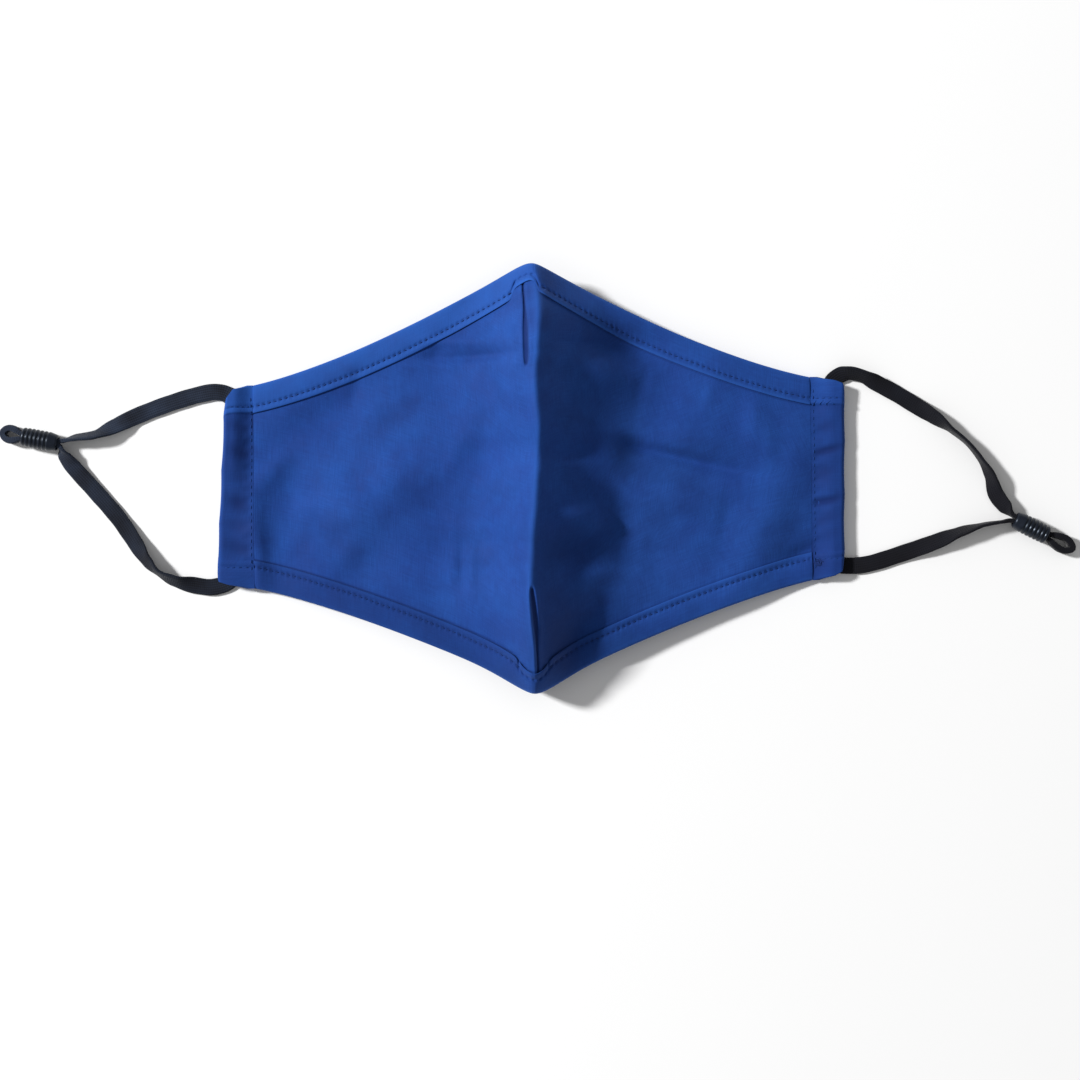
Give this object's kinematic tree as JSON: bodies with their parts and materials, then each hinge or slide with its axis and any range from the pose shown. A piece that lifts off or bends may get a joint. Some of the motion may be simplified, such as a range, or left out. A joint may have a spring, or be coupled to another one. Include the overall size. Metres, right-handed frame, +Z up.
{
  "type": "cloth face mask",
  "caption": "Cloth face mask with a pressed centre crease, folded edge strips, side channels and black elastic ear loops with ribbed cord locks.",
  "frame": {"origin": "middle of the footprint of the mask and its ear loops, at the height of the table", "axes": "+X to the right as seen from above with the nose edge up, +Y towards the nose edge, +Z up, out of the outer face"},
  "size_m": [0.3852, 0.152, 0.032],
  "materials": {
    "cloth": "matt woven cotton, royal blue",
    "elastic": "matt knitted elastic, black",
    "lock": "satin soft rubber, black"
  },
  "bodies": {
    "root": {"face_panel": "cloth", "nose_binding": "cloth", "chin_binding": "cloth", "side_channel_left": "cloth", "side_channel_right": "cloth", "ear_loop_left": "elastic", "ear_loop_right": "elastic", "cord_lock_left": "lock", "cord_lock_right": "lock"}
  },
  "joints": []
}
